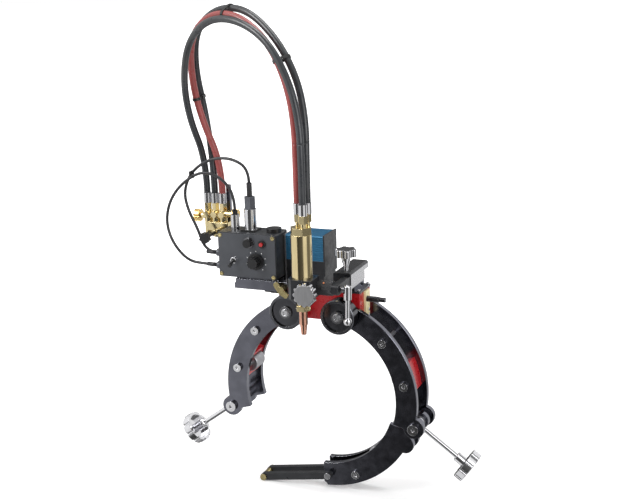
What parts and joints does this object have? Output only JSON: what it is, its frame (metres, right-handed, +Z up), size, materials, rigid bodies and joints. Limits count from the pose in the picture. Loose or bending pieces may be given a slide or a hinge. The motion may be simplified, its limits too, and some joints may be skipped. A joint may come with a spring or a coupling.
{
  "type": "orbital pipe flame cutter",
  "caption": "Orbital pipe flame cutter: clamp ring with hinged jaw, worm-driven wheels, cross slide, tilting rack torch, control box and gas hoses.",
  "frame": {"origin": "on the axis of the pipe it clamps, half way between the front and rear ring plates", "axes": "+Y along the pipe axis away from the torch, +Z up through the drive housing, +X to the jaw side"},
  "size_m": [0.4767, 0.1542, 0.7132],
  "materials": {
    "plate_black": "satin",
    "red_paint": "satin",
    "chrome": "polished",
    "steel": "brushed",
    "brass": "polished",
    "copper": "satin",
    "grey_satin": "satin",
    "blue_anodised": "satin",
    "black_plastic": "satin",
    "rubber": "matte",
    "zinc": "satin",
    "cream": "satin"
  },
  "bodies": {
    "frame": {"ring_plates_front": "plate_black", "ring_plates_rear": "plate_black", "ring_pins": "steel", "ring_screws": "chrome", "roller_blocks": "red_paint", "drive_housing": "red_paint", "housing_end_plate": "cream", "housing_screws": "chrome", "top_plate": "plate_black", "slide_base": "plate_black", "power_base": "plate_black", "power_cover": "blue_anodised", "power_panel": "steel", "carrier_tray": "plate_black", "control_box": "grey_satin", "control_panel": "grey_satin", "box_fittings": "chrome", "gas_manifold": "brass", "cables": "rubber", "hoses_manifold": "rubber"},
    "roller_left": {"guide_roller_left": "steel"},
    "roller_right": {"guide_roller_right": "steel"},
    "jaw": {"jaw_plates": "plate_black", "jaw_pins": "chrome"},
    "jaw_roller": {"jaw_roller": "steel"},
    "link": {"link_bars": "plate_black", "link_end_pin": "chrome"},
    "bolt_left": {"tension_screw_left": "chrome"},
    "bolt_right": {"tension_screw_right": "chrome"},
    "collar_left": {"tension_collar_left": "chrome"},
    "collar_right": {"tension_collar_right": "chrome"},
    "star_left": {"star_knob_left": "chrome"},
    "star_right": {"star_knob_right": "chrome"},
    "wheel_left": {"drive_wheel_left": "plate_black", "wheel_axle_left": "chrome"},
    "wheel_right": {"drive_wheel_right": "plate_black", "wheel_axle_right": "chrome"},
    "worm": {"worm_shaft": "plate_black"},
    "carriage": {"cross_carriage": "steel", "arm_bar": "steel", "hoses_arch": "rubber"},
    "feed_knob": {"feed_knob": "chrome"},
    "clamp_lever": {"clamp_lever": "chrome"},
    "holder": {"torch_holder": "grey_satin", "tilt_pivot": "plate_black", "hoses_torch": "rubber"},
    "pinion": {"pinion_knob": "chrome"},
    "torch": {"torch_barrel": "brass", "nozzle_nut": "brass", "torch_nozzle": "copper", "torch_inlets": "chrome"},
    "rocker": {"power_rocker": "red_paint"},
    "wing_nut": {"wing_nut": "zinc"},
    "speed_knob": {"speed_knob": "black_plastic"},
    "toggle": {"toggle_lever": "chrome"},
    "valve_left": {"handwheel_left": "zinc"},
    "valve_right": {"handwheel_right": "zinc"},
    "valve_knob": {"manifold_knob": "black_plastic"}
  },
  "joints": [
    {"name": "roller_left_spin", "type": "hinge", "parent": "frame", "child": "roller_left", "pos_m": [-0.11831, 0, 0.03038], "axis": [0, 1, 0], "continuous": true},
    {"name": "wheel_left_spin", "type": "hinge", "parent": "frame", "child": "wheel_left", "pos_m": [-0.0395, -0.044, 0.129], "axis": [0, 1, 0], "continuous": true},
    {"name": "tension_left_swing", "type": "hinge", "parent": "frame", "child": "bolt_left", "pos_m": [-0.14373, -0.0092, -0.0353], "axis": [0, -1, 0], "range_deg": [-20, 48]},
    {"name": "tension_left_travel", "type": "slide", "parent": "bolt_left", "child": "collar_left", "axis": [-0.809, 0, -0.5878], "range_m": [-0.006, 0]},
    {"name": "tension_left_turn", "type": "hinge", "parent": "collar_left", "child": "star_left", "pos_m": [-0.21654, -0.0092, -0.0882], "axis": [-0.809, 0, -0.5878], "range_deg": [-1440, 0]},
    {"name": "roller_right_spin", "type": "hinge", "parent": "frame", "child": "roller_right", "pos_m": [0.11831, 0, 0.03038], "axis": [0, 1, 0], "continuous": true},
    {"name": "wheel_right_spin", "type": "hinge", "parent": "frame", "child": "wheel_right", "pos_m": [0.0395, -0.044, 0.129], "axis": [0, 1, 0], "continuous": true},
    {"name": "tension_right_swing", "type": "hinge", "parent": "frame", "child": "bolt_right", "pos_m": [0.14373, -0.0092, -0.0353], "axis": [0, 1, 0], "range_deg": [-20, 13]},
    {"name": "tension_right_travel", "type": "slide", "parent": "bolt_right", "child": "collar_right", "axis": [0.809, 0, -0.5878], "range_m": [-0.006, 0]},
    {"name": "tension_right_turn", "type": "hinge", "parent": "collar_right", "child": "star_right", "pos_m": [0.21654, -0.0092, -0.0882], "axis": [0.809, 0, -0.5878], "range_deg": [-1440, 0]},
    {"name": "worm_spin", "type": "hinge", "parent": "frame", "child": "worm", "pos_m": [0, 0, 0.144], "axis": [1, 0, 0], "continuous": true},
    {"name": "jaw_swing", "type": "hinge", "parent": "frame", "child": "jaw", "pos_m": [0.14373, 0, -0.0353], "axis": [0, 1, 0], "range_deg": [-50, 2]},
    {"name": "jaw_roller_spin", "type": "hinge", "parent": "jaw", "child": "jaw_roller", "pos_m": [0.08173, -0.0057, -0.09078], "axis": [0, 1, 0], "continuous": true},
    {"name": "link_swing", "type": "hinge", "parent": "jaw", "child": "link", "pos_m": [0.01, -0.014, -0.128], "axis": [0, 1, 0], "range_deg": [-40, 4]},
    {"name": "cross_feed", "type": "slide", "parent": "frame", "child": "carriage", "axis": [0, 1, 0], "range_m": [-0.015, 0.01], "deforming": ["hoses_manifold", "hoses_arch"]},
    {"name": "feed_knob_turn", "type": "hinge", "parent": "carriage", "child": "feed_knob", "pos_m": [0.0465, -0.031, 0.219], "axis": [0, 0, 1], "range_deg": [-180, 180]},
    {"name": "clamp_turn", "type": "hinge", "parent": "carriage", "child": "clamp_lever", "pos_m": [0.0628, -0.08, 0.18], "axis": [1, 0, 0], "range_deg": [-90, 8]},
    {"name": "torch_tilt", "type": "hinge", "parent": "carriage", "child": "holder", "pos_m": [0.035, -0.08, 0.18], "axis": [1, 0, 0], "range_deg": [-10, 30], "deforming": ["hoses_arch", "hoses_torch"]},
    {"name": "pinion_turn", "type": "hinge", "parent": "holder", "child": "pinion", "pos_m": [0.0175, -0.112, 0.178], "axis": [0, 1, 0], "range_deg": [-103, 116]},
    {"name": "torch_feed", "type": "slide", "parent": "holder", "child": "torch", "axis": [0, 0, 1], "range_m": [-0.008, 0.009], "deforming": ["hoses_torch"]},
    {"name": "rocker_press", "type": "hinge", "parent": "frame", "child": "rocker", "pos_m": [-0.0519, 0.017, 0.19], "axis": [0, 1, 0], "range_deg": [-5, 5]},
    {"name": "wing_nut_turn", "type": "hinge", "parent": "frame", "child": "wing_nut", "pos_m": [-0.044, -0.0565, 0.163], "axis": [0, 1, 0], "continuous": true},
    {"name": "speed_turn", "type": "hinge", "parent": "frame", "child": "speed_knob", "pos_m": [-0.085, -0.055, 0.2], "axis": [0, 1, 0], "range_deg": [-150, 150]},
    {"name": "toggle_flip", "type": "hinge", "parent": "frame", "child": "toggle", "pos_m": [-0.12, -0.0498, 0.2], "axis": [1, 0, 0], "range_deg": [-38, 2]},
    {"name": "valve_left_turn", "type": "hinge", "parent": "frame", "child": "valve_left", "pos_m": [-0.206, 0.012, 0.2485], "axis": [1, 0, 0], "range_deg": [0, 720]},
    {"name": "valve_right_turn", "type": "hinge", "parent": "frame", "child": "valve_right", "pos_m": [-0.144, 0.012, 0.2525], "axis": [1, 0, 0], "range_deg": [0, 720]},
    {"name": "valve_knob_turn", "type": "hinge", "parent": "frame", "child": "valve_knob", "pos_m": [-0.173, -0.033, 0.226], "axis": [0, 1, 0], "range_deg": [0, 720]}
  ],
  "couplings": [
    {"joint": "wheel_right_spin", "follows": "wheel_left_spin", "ratio": 1},
    {"joint": "worm_spin", "follows": "wheel_left_spin", "ratio": 24},
    {"joint": "pinion_turn", "follows": "torch_feed", "rad_per_m": 222.22},
    {"joint": "tension_left_travel", "follows": "tension_left_turn", "m_per_rad": 0.00023873},
    {"joint": "tension_right_travel", "follows": "tension_right_turn", "m_per_rad": 0.00023873}
  ]
}
